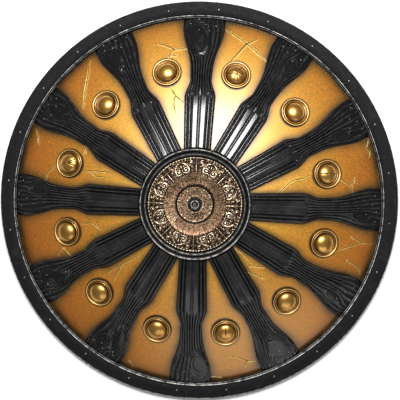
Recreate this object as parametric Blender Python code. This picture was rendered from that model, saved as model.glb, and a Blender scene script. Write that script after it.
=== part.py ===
"""Round wooden shield, 0.61 m across, lying face up on the flat back of its rim.

Metres, +Z up. The origin is the middle of the shield's underside, and spoke_01 points along +Y.
A dished board carries twelve carved spokes, twelve domed studs, and a cast medallion held in a
turned collar. A channel of sheet iron grips the board's edge, and a grip crosses its hollow back.
"""

import math

import bmesh
import bpy
from mathutils import Matrix, Vector

# Clearances between pieces that touch
FIT_GAP = 0.0003
BED_GAP = 0.0006  # under a flat-sided piece that lies on the dished board
SPOKE_END_GAP = 0.001

# Numbers of flats round the turned pieces
ROUND_SEGMENTS = 60
COLLAR_SEGMENTS = 40
STUD_SEGMENTS = 12
BOLT_SEGMENTS = 16
SHARP_EDGE_DEGREES = 35

# Rim: a channel of sheet iron with a raised bead along its inner edge
SHIELD_RADIUS = 0.305
RIM_WIDTH = 0.0262
RIM_SHEET = 0.002
RIM_LIP_WIDTH = 0.012
RIM_BEAD_WIDTH = 0.0056
RIM_BEAD_HEIGHT = 0.004
RIM_EDGE_ROUNDING = 0.0025

# Board: a spherical dish with a flat seat in the middle and a flat border under the rim
BOARD_THICKNESS = 0.009
DISH_DEPTH = 0.064
DISH_RINGS = 5
DISH_FOOT_MARGIN = 0.0005

# Collar: two turned beads round the medallion
COLLAR_WIDTH = 0.0125
COLLAR_INNER_BEAD_WIDTH = 0.0065
COLLAR_INNER_BEAD_HEIGHT = 0.0115
COLLAR_OUTER_BEAD_HEIGHT = 0.0098
COLLAR_GROOVE_HEIGHT = 0.0078

# Medallion: a scroll band that falls outwards, a hollow band, and a disc inside a groove
MEDALLION_RADIUS = 0.0704
MEDALLION_EDGE_HEIGHT = 0.0070
MEDALLION_CREST_RADIUS = 0.0455
MEDALLION_CREST_HEIGHT = 0.0100
MEDALLION_DISC_RADIUS = 0.0262
MEDALLION_DISC_HEIGHT = 0.0072
MEDALLION_GROOVE_WIDTH = 0.0026
MEDALLION_GROOVE_DEPTH = 0.0016
FIELD_COUNT = 8
FIELD_STEPS = 10
SCROLL_RINGS = 4
SCROLL_HEIGHT = 0.0016
SCROLL_BAND_REACH = 0.51  # of the band's width, from its middle, where the scrolls fade out
BAR_REACH = 0.0022
ARCH_RADIUS = 0.0095
ARCH_REACH = 0.0026
VOLUTE_SPACING = 0.0044
VOLUTE_REACH = 0.0030

# Centre bolt
BOLT_RADIUS = 0.0102
BOLT_HEIGHT = 0.0036
BOLT_SHOULDER_RADIUS = 0.0094
BOLT_SHOULDER_HEIGHT = 0.0022
BOLT_RING_RADIUS = 0.0052
BOLT_RING_HALF_WIDTH = 0.0013

# Spokes: a moulded bar by the collar, a waist, and a carved end that flares to the rim
SPOKE_COUNT = 12
SPOKE_THICKNESS = 0.008
SPOKE_END_THICKNESS = 0.0062
SPOKE_HUB_WIDTH = 0.0402
SPOKE_SHOULDER_WIDTH = 0.0461
SPOKE_WAIST_WIDTH = 0.0318
SPOKE_NECK_WIDTH = 0.0350
SPOKE_FLARE_WIDTH = 0.0632
SHOULDER_SHARE = 0.39  # places along the spoke, as shares of its length
WAIST_SHARE = 0.525
NECK_SHARE = 0.655
FLARE_START_SHARE = 0.62
FLARE_END_SHARE = 0.945
SPOKE_STATIONS = (0.0, 0.195, 0.39, 0.455, 0.525, 0.66, 0.775, 0.89, 1.0)
# Half of each cross-section, from the edge to the middle: share of half width, share of height
BAR_SECTION = ((1.0, 0.30), (0.88, 0.66), (0.74, 0.42), (0.62, 0.80), (0.49, 0.52), (0.42, 1.0), (0.0, 0.86))
CARVED_SECTION = ((1.0, 0.34), (0.86, 0.74), (0.70, 0.52), (0.50, 0.94), (0.34, 0.70), (0.18, 1.0), (0.0, 0.76))

# Studs: a dome inside a raised ring, square to the dish
STUD_COUNT = 12
STUD_CIRCLE_RADIUS = 0.200
STUD_RADIUS = 0.0218
STUD_RING_WIDTH = 0.0042
STUD_RING_HEIGHT = 0.0030
STUD_DOME_RADIUS = 0.0156
STUD_DOME_HEIGHT = 0.0102
STUD_DOME_TURNS = (35, 65)  # degrees up the dome at which it is faceted
STUD_GROOVE_HEIGHT = 0.0016

# Grip: one piece of ash whose two feet bear on the back of the board
GRIP_HALF_LENGTH = 0.205
GRIP_FOOT_LENGTH = 0.042
GRIP_FOOT_WIDTH = 0.040
GRIP_FOOT_THICKNESS = 0.016
GRIP_BAR_WIDTH = 0.034
GRIP_BAR_THICKNESS = 0.020
GRIP_HANDLE_WIDTH = 0.030
GRIP_HANDLE_THICKNESS = 0.022
GRIP_HANDLE_LENGTH = 0.120
GRIP_FINGER_ROOM = 0.034
GRIP_NECK_LENGTH = 0.034
GRIP_FOOT_ROOT_THICKNESS = 0.0256
GRIP_HANDLE_END_WIDTH = 0.027
GRIP_FLAT_SHARE = 0.6  # of the width, flat on top and underneath
GRIP_SIDE_SHARE = 0.5  # of the height, upright at each side

# What follows from those sizes
RIM_INNER_RADIUS = SHIELD_RADIUS - RIM_WIDTH
BORDER_BACK = RIM_SHEET + FIT_GAP
BORDER_FRONT = BORDER_BACK + BOARD_THICKNESS
BOARD_RADIUS = SHIELD_RADIUS - RIM_SHEET - FIT_GAP
DISH_FOOT_RADIUS = RIM_INNER_RADIUS * math.cos(math.pi / ROUND_SEGMENTS) - DISH_FOOT_MARGIN
COLLAR_INNER_RADIUS = (MEDALLION_RADIUS + FIT_GAP) / math.cos(math.pi / COLLAR_SEGMENTS)
COLLAR_OUTER_RADIUS = COLLAR_INNER_RADIUS + COLLAR_WIDTH
SEAT_RADIUS = COLLAR_OUTER_RADIUS + SPOKE_END_GAP
SEAT_FRONT = BORDER_FRONT + DISH_DEPTH
SPOKE_INNER_RADIUS = COLLAR_OUTER_RADIUS + SPOKE_END_GAP
SPOKE_OUTER_RADIUS = DISH_FOOT_RADIUS

# The dish's sphere passes through the seat's edge and the border's inner edge
SPHERE_DROP = (DISH_FOOT_RADIUS**2 - SEAT_RADIUS**2 - DISH_DEPTH**2) / (2 * DISH_DEPTH)
SPHERE_RADIUS = math.hypot(DISH_FOOT_RADIUS, SPHERE_DROP)
SPHERE_CENTRE_Z = BORDER_FRONT - SPHERE_DROP


def front_z(radius):
    """Height of the board's front face at a distance from the axis."""
    held = min(max(radius, SEAT_RADIUS), DISH_FOOT_RADIUS)
    return SPHERE_CENTRE_Z + math.sqrt(SPHERE_RADIUS**2 - held**2)


def back_z(radius):
    """Height of the board's hollow back at a distance from the axis."""
    held = max(radius, SEAT_RADIUS)
    return SPHERE_CENTRE_Z + math.sqrt((SPHERE_RADIUS - BOARD_THICKNESS) ** 2 - held**2)


def spread(low, high, steps):
    """Evenly spaced values from low to high, both included."""
    return [low + (high - low) * step / steps for step in range(steps + 1)]


def smooth(low, high, value):
    """0 below low, 1 above high, and an S-shaped rise between them."""
    share = min(max((value - low) / (high - low), 0.0), 1.0)
    return share * share * (3 - 2 * share)


def finish_material(name, colour, metallic, roughness):
    material = bpy.data.materials.new(name)
    material.use_nodes = True
    shader = material.node_tree.nodes["Principled BSDF"]
    shader.inputs["Base Color"].default_value = (*colour, 1.0)
    shader.inputs["Metallic"].default_value = metallic
    shader.inputs["Roughness"].default_value = roughness
    return material


def add_object(name, build, material, parent):
    """A named object from a bmesh, with its faces pointing out."""
    bmesh.ops.remove_doubles(build, verts=build.verts, dist=1e-7)
    bmesh.ops.recalc_face_normals(build, faces=build.faces)
    if build.calc_volume(signed=True) < 0:
        bmesh.ops.reverse_faces(build, faces=build.faces)
    mesh = bpy.data.meshes.new(name)
    build.to_mesh(mesh)
    build.free()
    mesh.shade_smooth()
    mesh.set_sharp_from_angle(angle=math.radians(SHARP_EDGE_DEGREES))
    mesh.materials.append(material)
    made = bpy.data.objects.new(name, mesh)
    made.parent = parent
    bpy.context.scene.collection.objects.link(made)
    return made


def turned(name, profile, segments, material, parent, closed=False):
    """A profile of (radius, height) points spun about the Z axis."""
    build = bmesh.new()
    points = [build.verts.new((radius, 0, height)) for radius, height in profile]
    ends = points[1:] + points[:1] if closed else points[1:]
    edges = [build.edges.new(pair) for pair in zip(points, ends)]
    bmesh.ops.spin(
        build,
        geom=points + edges,
        axis=(0, 0, 1),
        cent=(0, 0, 0),
        angle=math.tau,
        steps=segments,
        use_merge=True,
    )
    return add_object(name, build, material, parent)


def lofted(name, sections, material, parent):
    """Closed rings of points, each joined to the next, with ends fanned from the last point."""
    build = bmesh.new()
    rings = [[build.verts.new(point) for point in section] for section in sections]
    for first, second in zip(rings, rings[1:]):
        for index in range(len(first)):
            after = (index + 1) % len(first)
            build.faces.new((first[index], first[after], second[after], second[index]))
    for ring in (rings[0], rings[-1]):
        for start, end in zip(ring, ring[1:-1]):
            build.faces.new((ring[-1], start, end))
    return add_object(name, build, material, parent)


def make_board(material, parent):
    """One dished board: front face first, then round the edge and back to the axis."""
    back_foot = math.sqrt((SPHERE_RADIUS - BOARD_THICKNESS) ** 2 - (BORDER_BACK - SPHERE_CENTRE_Z) ** 2)
    front = [(radius, front_z(radius)) for radius in spread(SEAT_RADIUS, DISH_FOOT_RADIUS, DISH_RINGS)]
    back = [(radius, back_z(radius)) for radius in spread(back_foot, SEAT_RADIUS, DISH_RINGS)]
    profile = [(0, SEAT_FRONT), *front, (BOARD_RADIUS, BORDER_FRONT), (BOARD_RADIUS, BORDER_BACK), *back]
    profile.append((0, back_z(SEAT_RADIUS)))
    return turned("board", profile, ROUND_SEGMENTS, material, parent)


def make_rim(material, parent):
    """The iron channel: bead, face, rounded outer corner, wall and back lip."""
    under = BORDER_FRONT + FIT_GAP
    face = under + RIM_SHEET
    bead_top = face + RIM_BEAD_HEIGHT
    profile = (
        (RIM_INNER_RADIUS, under),
        (RIM_INNER_RADIUS, face + RIM_BEAD_HEIGHT / 2),
        (RIM_INNER_RADIUS + RIM_BEAD_WIDTH / 2, bead_top),
        (RIM_INNER_RADIUS + RIM_BEAD_WIDTH, face),
        (SHIELD_RADIUS - RIM_EDGE_ROUNDING, face),
        (SHIELD_RADIUS, face - RIM_EDGE_ROUNDING),
        (SHIELD_RADIUS, 0),
        (SHIELD_RADIUS - RIM_LIP_WIDTH, 0),
        (SHIELD_RADIUS - RIM_LIP_WIDTH, RIM_SHEET),
        (SHIELD_RADIUS - RIM_SHEET, RIM_SHEET),
        (SHIELD_RADIUS - RIM_SHEET, under),
    )
    return turned("rim", profile, ROUND_SEGMENTS, material, parent, closed=True)


def make_collar(material, parent):
    """The turned wooden ring with its two beads, seated round the medallion."""
    foot = SEAT_FRONT + FIT_GAP
    groove_radius = COLLAR_INNER_RADIUS + COLLAR_INNER_BEAD_WIDTH
    outer_bead = (groove_radius + COLLAR_OUTER_RADIUS) / 2
    inner_bead = (COLLAR_INNER_RADIUS + groove_radius) / 2
    profile = (
        (COLLAR_INNER_RADIUS, foot),
        (COLLAR_INNER_RADIUS, foot + COLLAR_GROOVE_HEIGHT),
        (inner_bead, foot + COLLAR_INNER_BEAD_HEIGHT),
        (groove_radius, foot + COLLAR_GROOVE_HEIGHT),
        (outer_bead, foot + COLLAR_OUTER_BEAD_HEIGHT),
        (COLLAR_OUTER_RADIUS, foot + COLLAR_GROOVE_HEIGHT),
        (COLLAR_OUTER_RADIUS, foot),
    )
    return turned("collar", profile, COLLAR_SEGMENTS, material, parent, closed=True)


def hump(distance, reach):
    """A rounded rise, 1 in the middle and 0 from reach onwards."""
    return 0.5 + 0.5 * math.cos(math.pi * min(distance / reach, 1.0))


def scroll_relief(radius, angle):
    """Share of SCROLL_HEIGHT in the scroll band: a bar, then an arch over a pair of volutes."""
    field = math.tau / FIELD_COUNT
    turn = (angle + field / 2) % field - field / 2
    bar = hump(abs(radius * math.sin(turn)), BAR_REACH)
    middle = abs(turn) - field / 2
    band_middle = (MEDALLION_RADIUS + MEDALLION_CREST_RADIUS) / 2
    along = radius * math.cos(middle) - band_middle
    across = abs(radius * math.sin(middle))
    arch = hump(abs(math.hypot(along, across) - ARCH_RADIUS), ARCH_REACH)
    volute = hump(math.hypot(along + ARCH_RADIUS / 3, across - VOLUTE_SPACING), VOLUTE_REACH)
    return max(bar, arch if along > -ARCH_RADIUS / 2 else 0.0, volute)


def medallion_z(radius, angle):
    """Height over the medallion's foot."""
    groove = MEDALLION_DISC_RADIUS + MEDALLION_GROOVE_WIDTH
    if radius >= MEDALLION_CREST_RADIUS:
        fall = (radius - MEDALLION_CREST_RADIUS) / (MEDALLION_RADIUS - MEDALLION_CREST_RADIUS)
        base = MEDALLION_CREST_HEIGHT - (MEDALLION_CREST_HEIGHT - MEDALLION_EDGE_HEIGHT) * fall**2
        return base + SCROLL_HEIGHT * scroll_relief(radius, angle) * hump(abs(fall - 0.5), SCROLL_BAND_REACH)
    if radius >= groove:
        rise = (radius - groove) / (MEDALLION_CREST_RADIUS - groove)
        return MEDALLION_DISC_HEIGHT + (MEDALLION_CREST_HEIGHT - MEDALLION_DISC_HEIGHT) * rise**2
    return MEDALLION_DISC_HEIGHT


def make_medallion(material, parent):
    """The cast plate, as rings of heights over a flat foot."""
    steps = FIELD_COUNT * FIELD_STEPS
    foot = SEAT_FRONT + FIT_GAP
    groove = MEDALLION_DISC_RADIUS + MEDALLION_GROOVE_WIDTH
    hollow_middle = (groove + MEDALLION_CREST_RADIUS) / 2
    groove_floor = MEDALLION_DISC_HEIGHT - MEDALLION_GROOVE_DEPTH
    rings = [(radius, None) for radius in spread(MEDALLION_RADIUS, MEDALLION_CREST_RADIUS, SCROLL_RINGS)]
    rings += [(hollow_middle, None), (groove, None)]
    rings += [(MEDALLION_DISC_RADIUS + MEDALLION_GROOVE_WIDTH / 2, groove_floor), (MEDALLION_DISC_RADIUS, None)]
    rings.insert(0, (MEDALLION_RADIUS, 0.0))
    build = bmesh.new()
    loops = []
    for radius, height in rings:
        loop = []
        for step in range(steps):
            angle = math.tau * step / steps
            lift = medallion_z(radius, angle) if height is None else height
            loop.append(build.verts.new((radius * math.sin(angle), radius * math.cos(angle), foot + lift)))
        loops.append(loop)
    for outer, inner in zip(loops, loops[1:]):
        for index in range(steps):
            after = (index + 1) % steps
            build.faces.new((outer[index], outer[after], inner[after], inner[index]))
    build.faces.new(loops[0])
    build.faces.new(loops[-1])
    return add_object("medallion", build, material, parent)


def make_centre_bolt(material, parent):
    """The low bolt head in the middle of the medallion, with a ring turned on it."""
    foot = SEAT_FRONT + FIT_GAP + MEDALLION_DISC_HEIGHT + FIT_GAP
    profile = (
        (0, foot),
        (BOLT_RADIUS, foot),
        (BOLT_SHOULDER_RADIUS, foot + BOLT_SHOULDER_HEIGHT),
        (BOLT_RING_RADIUS + BOLT_RING_HALF_WIDTH, foot + BOLT_SHOULDER_HEIGHT),
        (BOLT_RING_RADIUS, foot + BOLT_HEIGHT),
        (BOLT_RING_RADIUS - BOLT_RING_HALF_WIDTH, foot + BOLT_SHOULDER_HEIGHT),
        (0, foot + BOLT_SHOULDER_HEIGHT),
    )
    return turned("centre_bolt", profile, BOLT_SEGMENTS, material, parent)


def spoke_half_width(share):
    """Half the spoke's width at a share of its length from the collar."""
    bar = SPOKE_HUB_WIDTH + (SPOKE_SHOULDER_WIDTH - SPOKE_HUB_WIDTH) * min(share / SHOULDER_SHARE, 1.0)
    waist = bar + (SPOKE_WAIST_WIDTH - bar) * smooth(SHOULDER_SHARE, WAIST_SHARE, share)
    past_waist = min(max((share - WAIST_SHARE) / (NECK_SHARE - WAIST_SHARE), 0.0), 1.0)
    neck = waist + (SPOKE_NECK_WIDTH - SPOKE_WAIST_WIDTH) * past_waist
    flare = smooth(FLARE_START_SHARE, FLARE_END_SHARE, share)
    return (neck + (SPOKE_FLARE_WIDTH - SPOKE_NECK_WIDTH) * flare) / 2


def spoke_section(share):
    """One ring of points across the spoke, in the shield's own frame, for a spoke along +Y."""
    radius = SPOKE_INNER_RADIUS + (SPOKE_OUTER_RADIUS - SPOKE_INNER_RADIUS) * share
    half_width = spoke_half_width(share)
    thickness = SPOKE_THICKNESS + (SPOKE_END_THICKNESS - SPOKE_THICKNESS) * share
    carved = smooth(SHOULDER_SHARE, WAIST_SHARE, share)
    half = []
    for bar_point, carved_point in zip(BAR_SECTION, CARVED_SECTION):
        across, up = (a + (b - a) * carved for a, b in zip(bar_point, carved_point))
        half.append((across, up))
    outline = [(1.0, 0.0), *half, *[(-across, up) for across, up in reversed(half[:-1])], (-1.0, 0.0), (0.0, 0.0)]
    bed = front_z(radius) + BED_GAP
    points = []
    for across, up in outline:
        lateral = across * half_width
        points.append(Vector((lateral, math.sqrt(radius**2 - lateral**2), bed + up * thickness)))
    return points


def make_spokes(material, parent):
    """Twelve alike, each turned a twelfth further round, clockwise seen from the front."""
    sections = [spoke_section(share) for share in SPOKE_STATIONS]
    first = lofted("spoke_01", sections, material, parent)
    for index in range(1, SPOKE_COUNT):
        copy = bpy.data.objects.new(f"spoke_{index + 1:02d}", first.data)
        copy.rotation_euler.z = -math.tau * index / SPOKE_COUNT
        copy.parent = parent
        bpy.context.scene.collection.objects.link(copy)


def make_studs(material, parent):
    """Twelve domed studs, half a step round from the spokes, each square to the dish."""
    dome_low = STUD_GROOVE_HEIGHT
    dome_rise = STUD_DOME_HEIGHT - dome_low
    profile = [(0, 0), (STUD_RADIUS, 0), (STUD_RADIUS - STUD_RING_WIDTH / 2, STUD_RING_HEIGHT)]
    profile.append(((STUD_RADIUS - STUD_RING_WIDTH + STUD_DOME_RADIUS) / 2, dome_low))
    for turn in STUD_DOME_TURNS:
        out = STUD_DOME_RADIUS * math.cos(math.radians(turn))
        profile.append((out, dome_low + dome_rise * math.sin(math.radians(turn))))
    profile.append((0, STUD_DOME_HEIGHT))
    slope = math.asin(STUD_CIRCLE_RADIUS / SPHERE_RADIUS)
    first = None
    for index in range(STUD_COUNT):
        angle = math.tau * (index + 0.5) / STUD_COUNT
        name = f"stud_{index + 1:02d}"
        if first is None:
            stud = first = turned(name, profile, STUD_SEGMENTS, material, parent)
        else:
            stud = bpy.data.objects.new(name, first.data)
            stud.parent = parent
            bpy.context.scene.collection.objects.link(stud)
        tilt = Matrix.Rotation(-angle, 4, "Z") @ Matrix.Rotation(-slope, 4, "X")
        seat = Vector((0, 0, SPHERE_CENTRE_Z)) + tilt @ Vector((0, 0, SPHERE_RADIUS + FIT_GAP))
        stud.matrix_local = Matrix.Translation(seat) @ tilt


def grip_section(along, low, high, width):
    """An eight-sided ring of points across the grip at one place along X."""
    middle = (low + high) / 2
    half_height = (high - low) / 2
    half_width = width / 2
    quarter = ((1, GRIP_SIDE_SHARE), (GRIP_FLAT_SHARE, 1))
    upper = [*quarter, *[(-y, z) for y, z in reversed(quarter)]]
    corners = [*upper, *[(y, -z) for y, z in reversed(upper)]]
    return [Vector((along, y * half_width, middle + z * half_height)) for y, z in corners]


def make_grip(material, parent):
    """The grip along X: two feet under the dish, two laths, and a rounded handle in the middle."""
    handle_top = back_z(0) - GRIP_FINGER_ROOM
    foot_inner = GRIP_HALF_LENGTH - GRIP_FOOT_LENGTH
    half_foot_width = GRIP_FOOT_WIDTH / 2
    outer_top = back_z(math.hypot(GRIP_HALF_LENGTH, half_foot_width)) - FIT_GAP
    inner_top = back_z(math.hypot(foot_inner, half_foot_width)) - FIT_GAP
    bar_end = foot_inner - GRIP_NECK_LENGTH
    half_handle = GRIP_HANDLE_LENGTH / 2
    handle_low = handle_top - GRIP_HANDLE_THICKNESS
    bar_low = handle_top - GRIP_BAR_THICKNESS
    half = [
        (half_handle / 2, handle_low, handle_top, GRIP_HANDLE_WIDTH),
        (half_handle, handle_low, handle_top, GRIP_HANDLE_END_WIDTH),
        ((half_handle + bar_end) / 2, bar_low, handle_top, GRIP_BAR_WIDTH),
        (bar_end, bar_low, handle_top, GRIP_BAR_WIDTH),
        (foot_inner, inner_top - GRIP_FOOT_ROOT_THICKNESS, inner_top, GRIP_FOOT_WIDTH),
        (GRIP_HALF_LENGTH, outer_top - GRIP_FOOT_THICKNESS, outer_top, GRIP_FOOT_WIDTH),
    ]
    sections = [grip_section(-place, *size) for place, *size in reversed(half)]
    sections += [grip_section(place, *size) for place, *size in half]
    return lofted("grip", sections, material, parent)


def main():
    for old in list(bpy.data.objects):
        bpy.data.objects.remove(old)
    shield = bpy.data.objects.new("shield", None)
    bpy.context.scene.collection.objects.link(shield)
    gold_paint = finish_material("gold_paint", (0.55, 0.25, 0.045), 0.6, 0.38)
    black_lacquer = finish_material("black_lacquer", (0.018, 0.018, 0.02), 0.0, 0.35)
    blackened_iron = finish_material("blackened_iron", (0.03, 0.03, 0.034), 0.6, 0.45)
    gilt_brass = finish_material("gilt_brass", (0.50, 0.25, 0.06), 0.9, 0.3)
    copper_bronze = finish_material("copper_bronze", (0.28, 0.14, 0.08), 0.8, 0.45)
    ash_wood = finish_material("ash_wood", (0.42, 0.27, 0.15), 0.0, 0.6)
    make_board(gold_paint, shield)
    make_rim(blackened_iron, shield)
    make_collar(black_lacquer, shield)
    make_medallion(copper_bronze, shield)
    make_centre_bolt(blackened_iron, shield)
    make_spokes(black_lacquer, shield)
    make_studs(gilt_brass, shield)
    make_grip(ash_wood, shield)


main()
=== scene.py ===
"""Visual model of a round wooden shield, 0.61 m across, that lies face up on the flat back of its rim."""

import math
import random

import bmesh
import bpy
import numpy as np
from mathutils import Matrix, Vector
from mathutils.geometry import delaunay_2d_cdt


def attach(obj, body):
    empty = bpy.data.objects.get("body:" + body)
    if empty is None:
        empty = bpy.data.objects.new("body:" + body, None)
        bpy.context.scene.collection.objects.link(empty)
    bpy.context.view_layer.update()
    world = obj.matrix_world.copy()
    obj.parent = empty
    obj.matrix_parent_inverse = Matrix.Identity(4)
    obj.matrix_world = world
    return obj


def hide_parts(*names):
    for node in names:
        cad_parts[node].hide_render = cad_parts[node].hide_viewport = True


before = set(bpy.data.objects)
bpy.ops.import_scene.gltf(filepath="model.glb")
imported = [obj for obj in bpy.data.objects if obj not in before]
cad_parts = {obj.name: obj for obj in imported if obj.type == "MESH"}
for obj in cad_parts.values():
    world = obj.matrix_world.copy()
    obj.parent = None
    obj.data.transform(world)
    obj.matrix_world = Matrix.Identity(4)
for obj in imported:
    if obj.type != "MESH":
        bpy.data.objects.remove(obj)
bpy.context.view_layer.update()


# The board. Lime planks are glued edge to edge, dished, and faced off to a flat seat in the middle and a
# flat border round the edge. The front is painted gold and browned along every edge, partly with a spray
# and partly as painted shade beside the spokes, rim and collar, with a painted shadow round each stud. The
# paint has crazed with age; its cracks carry painted shade in the groove and a painted highlight on the lip
# towards the light. The hollow back is bare wood.
SHIELD_RADIUS = 0.305
BOARD_RADIUS = 0.3027
BOARD_THICKNESS = 0.009
BORDER_BACK = 0.0023
BORDER_FRONT = BORDER_BACK + BOARD_THICKNESS
DISH_DEPTH = 0.064
SEAT_RADIUS = 0.08442
DISH_FOOT_RADIUS = 0.27792
SPHERE_DROP = (DISH_FOOT_RADIUS**2 - SEAT_RADIUS**2 - DISH_DEPTH**2) / (2 * DISH_DEPTH)
SPHERE_RADIUS = math.hypot(DISH_FOOT_RADIUS, SPHERE_DROP)
SPHERE_CENTRE_Z = BORDER_FRONT - SPHERE_DROP
SEAT_FRONT = BORDER_FRONT + DISH_DEPTH
FIT_GAP = 0.0003  # between pieces that touch

BOARD_STEPS = 360
BOARD_RING_PITCH = 0.003
BACK_RING_PITCH = 0.006
PLANK_WIDTH = 0.0865
PLANK_SEAM_WIDTH = 0.0012
PLANK_SEAM_DEPTH = 0.0005
PLANK_SEAM_REACH = 0.2985

CRACK_HALF_WIDTH = 0.0006
CRACK_DEPTH = 0.0009
CRACK_LIP = 0.00012
CRACK_STEP = 0.0026
CRACK_WANDER = 0.17
CRACK_LIT_SIDE = (0.35, -0.94)
# Lines of points along a crack, in its half widths from the middle
CRACK_LINES = (0.0, 1.0, -1.0, 1.7, -1.7, 2.6, -2.6)
CRACK_CLEARANCE = 3.2

SPOKE_COUNT = 12
SPOKE_HUB_WIDTH = 0.0402
SPOKE_SHOULDER_WIDTH = 0.0461
SPOKE_WAIST_WIDTH = 0.0318
SPOKE_NECK_WIDTH = 0.0350
SPOKE_FLARE_WIDTH = 0.0632
SHOULDER_SHARE = 0.39
WAIST_SHARE = 0.525
NECK_SHARE = 0.655
FLARE_START_SHARE = 0.62
FLARE_END_SHARE = 0.945

STUD_COUNT = 12
STUD_CIRCLE_RADIUS = 0.200
STUD_RADIUS = 0.0218

# Each crack runs through places given as millimetres from the middle, degrees clockwise from spoke_01
CRACKS = (
    (248, 342.8, 244, 345.7, 234, 349.1, 233, 353.9), (234, 349.1, 226, 347.4, 221, 347.1),
    (226, 347.7, 223, 350.1), (177, 345.4, 164, 346.8, 153, 350.0), (164, 346.8, 149, 345.0, 137, 345.3),
    (270, 320.0, 253, 316.3, 242, 313.1, 224, 307.5), (271, 291.7, 264, 290.1, 259, 287.6),
    (223, 282.5, 232, 278.8, 235, 275.4), (189, 295.5, 183, 291.5), (175, 283.7, 156, 285.8, 138, 287.5),
    (163, 283.8, 153, 282.8, 144, 283.8), (266, 7.1, 251, 15.2, 237, 24.8),
    (263, 17.9, 251, 15.2, 233, 13.0, 217, 11.4), (275, 67.4, 269, 69.5, 272, 71.2, 268, 72.8),
    (220, 78.4, 231, 80.9, 238, 80.2, 240, 78.3), (234, 81.2, 233, 84.2),
    (180, 73.2, 166, 74.3, 147, 74.2, 134, 77.3, 124, 80.6),
    (220, 106.8, 251, 102.2, 257, 101.4, 276, 100.8), (240, 100.0, 257, 101.4),
    (243, 108.4, 264, 109.8, 270, 111.6), (89, 134.8, 102, 133.6, 120, 133.8), (123, 136.2, 139, 130.5),
    (127, 139.9, 150, 135.2), (239, 165.6, 248, 162.1, 255, 160.0, 259, 157.4), (255, 160.0, 263, 162.0),
    (269, 173.2, 272, 170.2), (268, 200.3, 275, 198.9), (112, 225.2, 146, 228.4, 162, 229.6, 177, 229.4),
    (146, 227.9, 168, 224.9), (175, 257.6, 160, 257.0, 147, 252.6), (215, 249.6, 208, 245.6),
    (215, 249.6, 228, 246.6),
)
# Cracks that stand wider open than the rest, by their place in the list, and by how much
BOLD_CRACKS = {0: 1.2, 5: 1.6, 6: 1.2, 7: 1.2, 11: 1.4, 12: 1.5, 13: 1.2}


def ramp_up(low, high, value):
    """0 below low, 1 above high, and an S-shaped rise between them."""
    share = np.clip((value - low) / (high - low), 0, 1)
    return share * share * (3 - 2 * share)


def front_z(radius):
    """Height of the board's painted face at a distance from the axis."""
    held = np.clip(radius, SEAT_RADIUS, DISH_FOOT_RADIUS)
    return SPHERE_CENTRE_Z + np.sqrt(SPHERE_RADIUS**2 - held**2)


def back_z(radius):
    """Height of the board's bare back at a distance from the axis."""
    held = np.minimum(np.maximum(radius, SEAT_RADIUS), BOARD_RADIUS)
    curve = SPHERE_CENTRE_Z + np.sqrt((SPHERE_RADIUS - BOARD_THICKNESS) ** 2 - held**2)
    return np.maximum(curve, BORDER_BACK)


def spoke_half_width(share):
    """Half the width of a spoke at a share of its length from the collar."""
    swell = SPOKE_SHOULDER_WIDTH - SPOKE_HUB_WIDTH
    bar = SPOKE_HUB_WIDTH + swell * np.minimum(share / SHOULDER_SHARE, 1.0)
    waist = bar + (SPOKE_WAIST_WIDTH - bar) * ramp_up(SHOULDER_SHARE, WAIST_SHARE, share)
    past_waist = np.clip((share - WAIST_SHARE) / (NECK_SHARE - WAIST_SHARE), 0, 1)
    neck = waist + (SPOKE_NECK_WIDTH - SPOKE_WAIST_WIDTH) * past_waist
    flare = (SPOKE_FLARE_WIDTH - SPOKE_NECK_WIDTH) * ramp_up(FLARE_START_SHARE, FLARE_END_SHARE, share)
    return (neck + flare) / 2


def crack_runs():
    """Each crack's centre line, broken into short steps that wander to either side."""
    draw = random.Random(11)
    runs = []
    for crack in CRACKS:
        corners = [
            Vector((0.001 * r * math.sin(math.radians(a)), 0.001 * r * math.cos(math.radians(a))))
            for r, a in zip(crack[::2], crack[1::2])
        ]
        line = [corners[0]]
        for start, end in zip(corners, corners[1:]):
            along = end - start
            steps = max(2, round(along.length / CRACK_STEP))
            across = Vector((-along.y, along.x)).normalized()
            for step in range(1, steps + 1):
                stray = draw.uniform(-1, 1) * CRACK_WANDER * CRACK_STEP if step < steps else 0.0
                line.append(start + along * (step / steps) + across * stray)
        runs.append(np.array(line))
    return runs


def crack_widths(index, run):
    """Half width of a crack at each of its points, narrower towards both ends."""
    places = np.linspace(0.0, 1.0, len(run))
    narrow = 0.35 + 0.65 * np.minimum(1.0, 3.2 * np.minimum(places, 1 - places))
    return CRACK_HALF_WIDTH * BOLD_CRACKS.get(index, 1.0) * narrow


def crack_measure(points, runs):
    """Each point's distance from the nearest crack, in its half widths, and its side, -1 to 1."""
    starts = np.concatenate([run[:-1] for run in runs])
    ends = np.concatenate([run[1:] for run in runs])
    at_points = [crack_widths(index, run) for index, run in enumerate(runs)]
    widths = np.concatenate([(half[:-1] + half[1:]) / 2 for half in at_points])
    along = ends - starts
    nearest, sides = np.empty(len(points)), np.empty(len(points))
    for first in range(0, len(points), 4000):
        block = points[first : first + 4000, None, :] - starts[None]
        share = np.clip((block * along).sum(-1) / (along**2).sum(-1), 0, 1)
        away = block - share[..., None] * along
        off = np.linalg.norm(away, axis=-1)
        closest = (off / widths).argmin(axis=1)
        rows = np.arange(len(closest))
        nearest[first : first + 4000] = (off / widths)[rows, closest]
        reach = np.maximum(off[rows, closest], 1e-7)
        sides[first : first + 4000] = away[rows, closest] @ np.array(CRACK_LIT_SIDE) / reach
    return nearest, sides


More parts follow.
